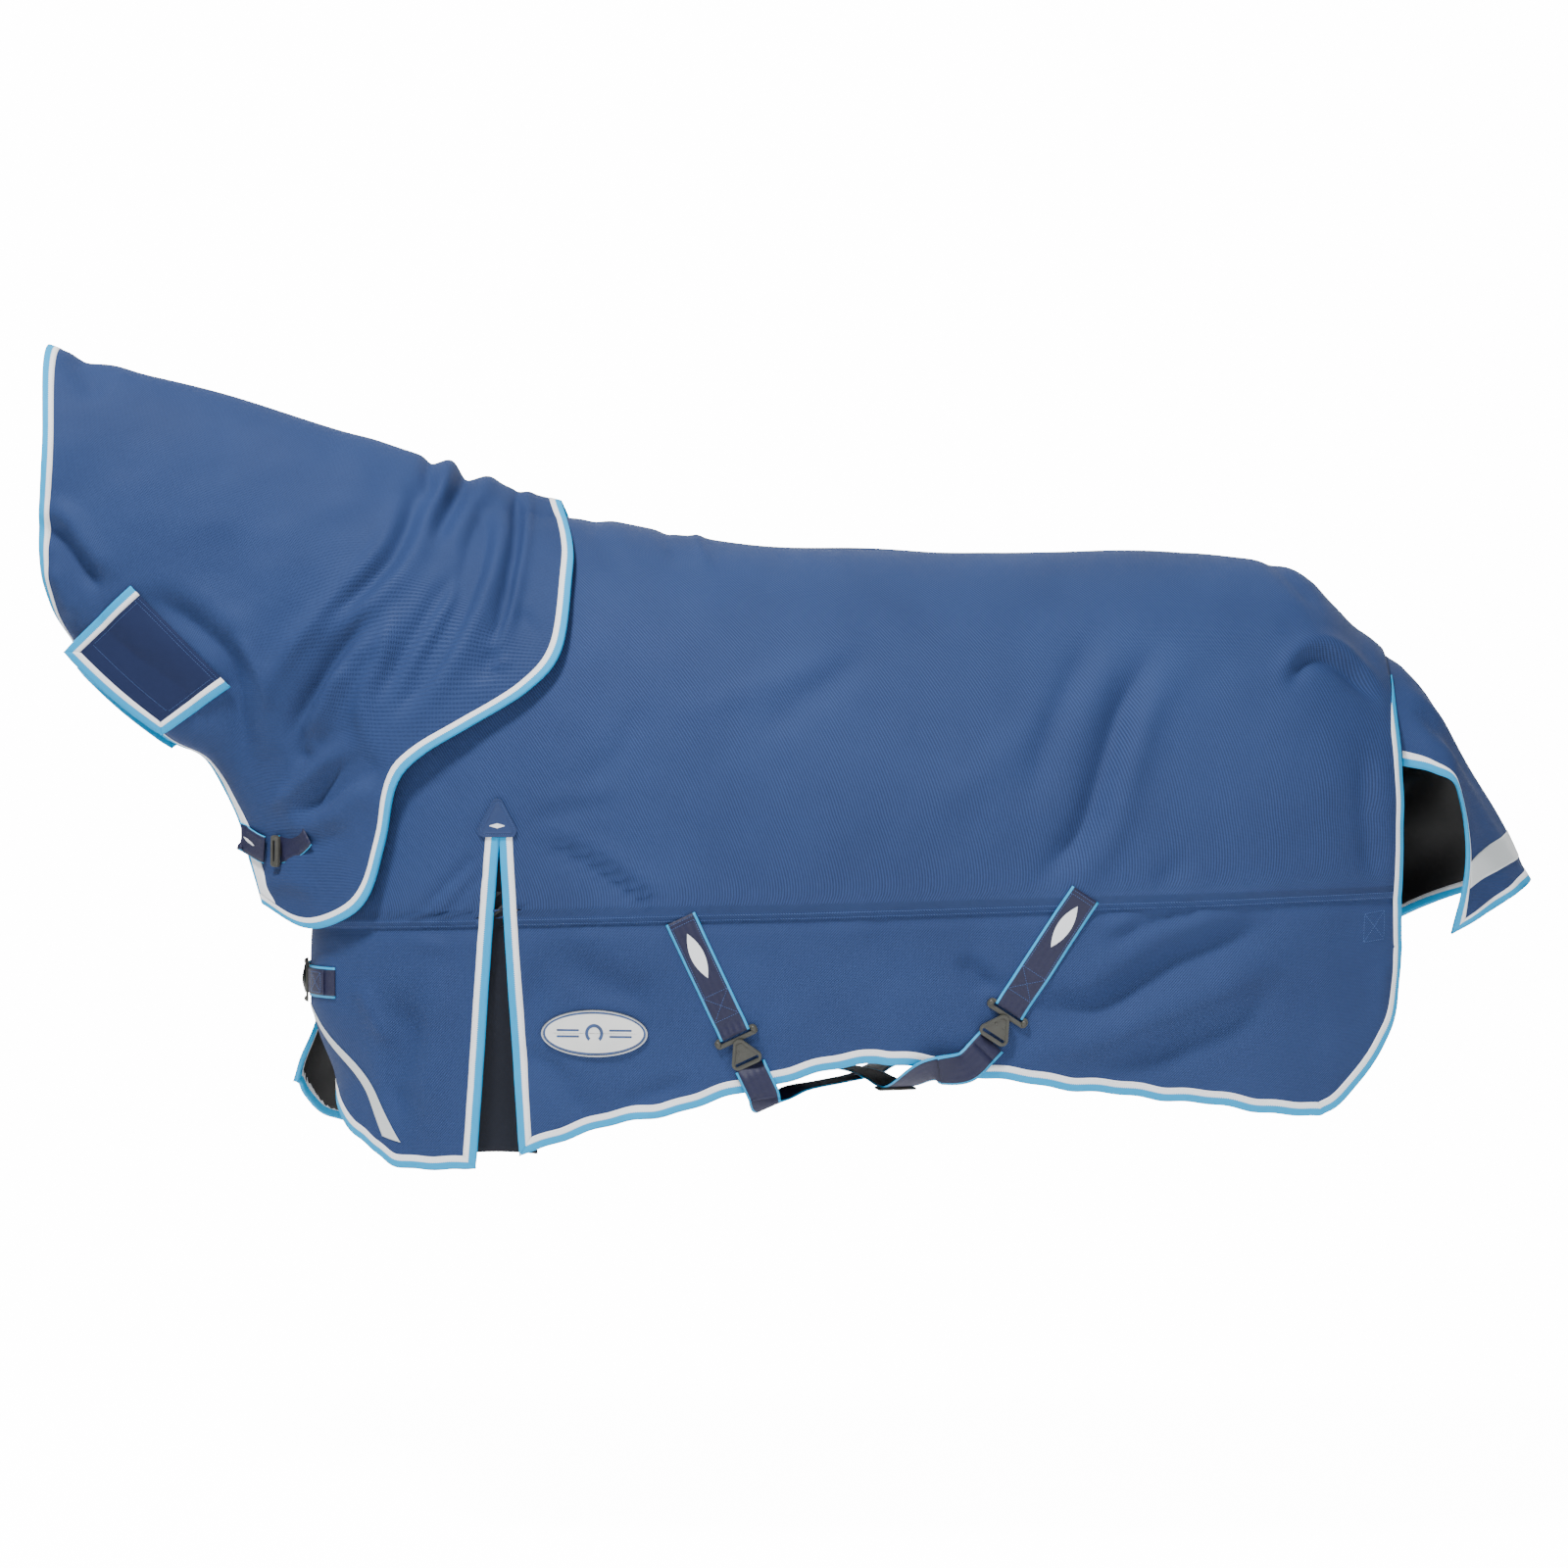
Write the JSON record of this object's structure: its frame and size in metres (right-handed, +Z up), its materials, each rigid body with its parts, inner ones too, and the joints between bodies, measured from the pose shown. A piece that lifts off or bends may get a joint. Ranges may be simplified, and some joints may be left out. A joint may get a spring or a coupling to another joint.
{
  "type": "turnout rug",
  "caption": "Horse turnout rug with a detachable neck cover, shoulder gussets, chest fastening, crossed belly straps, two-tone edge tape and a tail flap.",
  "frame": {"origin": "under the lining on the middle of the back, where the rug rests on the horse", "axes": "+X along the horse towards the tail, +Z up, the horse's left side at -Y"},
  "size_m": [2.4453, 0.6839, 1.3346],
  "materials": {
    "outer_fabric": "coated heavy-denier polyester, fine diagonal weave, mid navy blue",
    "lining_fabric": "smooth black nylon lining",
    "binding_tape": "woven edge tape, white half and turquoise half",
    "webbing": "dark navy polypropylene webbing with a turquoise line at each edge",
    "moulded_plastic": "dark grey moulded plastic, satin",
    "reflective_tape": "silver-grey reflective tape",
    "patch_rubber": "moulded soft rubber patch, grey blue",
    "badge_face": "pale printed oval badge with a dark rim",
    "touch_tape": "dark navy cloth tab with touch tape behind it"
  },
  "bodies": {
    "rug": {"back_panel": "outer_fabric", "body_lining": "lining_fabric", "chest_anchor_left": "webbing", "chest_buckle": "moulded_plastic", "chest_hook": "moulded_plastic", "chest_panel_left": "outer_fabric", "chest_panel_right": "outer_fabric", "chest_reflective_left": "reflective_tape", "chest_reflective_right": "reflective_tape", "chest_tab_right": "webbing", "chest_tape_left": "binding_tape", "chest_tape_right": "binding_tape", "flank_panel_left": "outer_fabric", "flank_panel_right": "outer_fabric", "flank_tape_left": "binding_tape", "flank_tape_right": "binding_tape", "front_anchor_left": "webbing", "front_anchor_right": "webbing", "front_hook_left": "moulded_plastic", "front_hook_right": "moulded_plastic", "gusset_patch_left": "patch_rubber", "gusset_patch_right": "patch_rubber", "neckline_tape": "binding_tape", "rear_anchor_left": "webbing", "rear_anchor_right": "webbing", "rear_hook_left": "moulded_plastic", "rear_hook_right": "moulded_plastic", "shoulder_gusset_left": "outer_fabric", "shoulder_gusset_right": "outer_fabric", "side_badge": "badge_face", "wither_tab_left": "webbing", "wither_tab_right": "webbing"},
    "neck": {"neck_cover": "outer_fabric", "neck_lining": "lining_fabric", "neck_face_tape": "binding_tape", "neck_shoulder_tape": "binding_tape", "throat_tape_left": "binding_tape", "throat_tape_right": "binding_tape", "throat_pad": "touch_tape", "wither_hook_left": "moulded_plastic", "wither_hook_right": "moulded_plastic"},
    "throat_tab": {"throat_tab": "touch_tape"},
    "neck_strap": {"neck_strap": "webbing", "neck_clip": "moulded_plastic"},
    "tail": {"tail_flap": "outer_fabric", "tail_lining": "lining_fabric", "tail_tape": "binding_tape", "tail_reflective_band": "reflective_tape"},
    "chest_strap": {"chest_strap": "webbing", "chest_clip": "moulded_plastic"},
    "surcingle_a": {"surcingle_a": "webbing", "front_clip_left": "moulded_plastic", "rear_clip_right": "moulded_plastic"},
    "surcingle_b": {"surcingle_b": "webbing", "front_clip_right": "moulded_plastic", "rear_clip_left": "moulded_plastic"},
    "slide_a": {"surcingle_slide_a": "moulded_plastic"},
    "slide_b": {"surcingle_slide_b": "moulded_plastic"},
    "hind_ring_left": {"hind_ring_left": "moulded_plastic"},
    "hind_ring_right": {"hind_ring_right": "moulded_plastic"}
  },
  "joints": [
    {"name": "neck_tilt", "type": "hinge", "parent": "rug", "child": "neck", "pos_m": [-0.345, 0, 0.075], "axis": [0, 1, 0], "range_deg": [0, 8]},
    {"name": "throat_tab_peel", "type": "hinge", "parent": "neck", "child": "throat_tab", "pos_m": [-1.06327, -0.13772, -0.06068], "axis": [-0.7, -0.0014, 0.7142], "range_deg": [0, 110]},
    {"name": "neck_strap_open", "type": "hinge", "parent": "neck", "child": "neck_strap", "pos_m": [-0.84477, 0.09499, -0.48777], "axis": [0.238, 0, -0.9713], "range_deg": [0, 80]},
    {"name": "tail_flap_lift", "type": "hinge", "parent": "rug", "child": "tail", "pos_m": [0.987, 0, -0.168], "axis": [0, -1, 0], "range_deg": [0, 70]},
    {"name": "chest_strap_open", "type": "hinge", "parent": "rug", "child": "chest_strap", "pos_m": [-0.7862, 0.0412, -0.7], "axis": [0, 0, -1], "range_deg": [0, 75]},
    {"name": "surcingle_a_swing", "type": "hinge", "parent": "rug", "child": "surcingle_a", "pos_m": [-0.0786, -0.30681, -0.76542], "axis": [0.5629, 0.825, 0.0497], "range_deg": [-4, 2]},
    {"name": "surcingle_b_swing", "type": "hinge", "parent": "rug", "child": "surcingle_b", "pos_m": [-0.0786, 0.30681, -0.76542], "axis": [0.5629, -0.825, 0.0497], "range_deg": [-2, 4]},
    {"name": "surcingle_a_length", "type": "slide", "parent": "surcingle_a", "child": "slide_a", "axis": [0.2236, 0.9743, 0.0259], "range_m": [-0.08, 0]},
    {"name": "surcingle_b_length", "type": "slide", "parent": "surcingle_b", "child": "slide_b", "axis": [0.2235, -0.9744, 0.026], "range_m": [-0.08, 0]},
    {"name": "hind_ring_left_swing", "type": "hinge", "parent": "rug", "child": "hind_ring_left", "pos_m": [0.91356, -0.21933, -0.68792], "axis": [0.9056, 0.4242, 0], "range_deg": [0, 70]},
    {"name": "hind_ring_right_swing", "type": "hinge", "parent": "rug", "child": "hind_ring_right", "pos_m": [0.91356, 0.21933, -0.68792], "axis": [-0.9056, 0.4242, 0], "range_deg": [0, 70]}
  ]
}
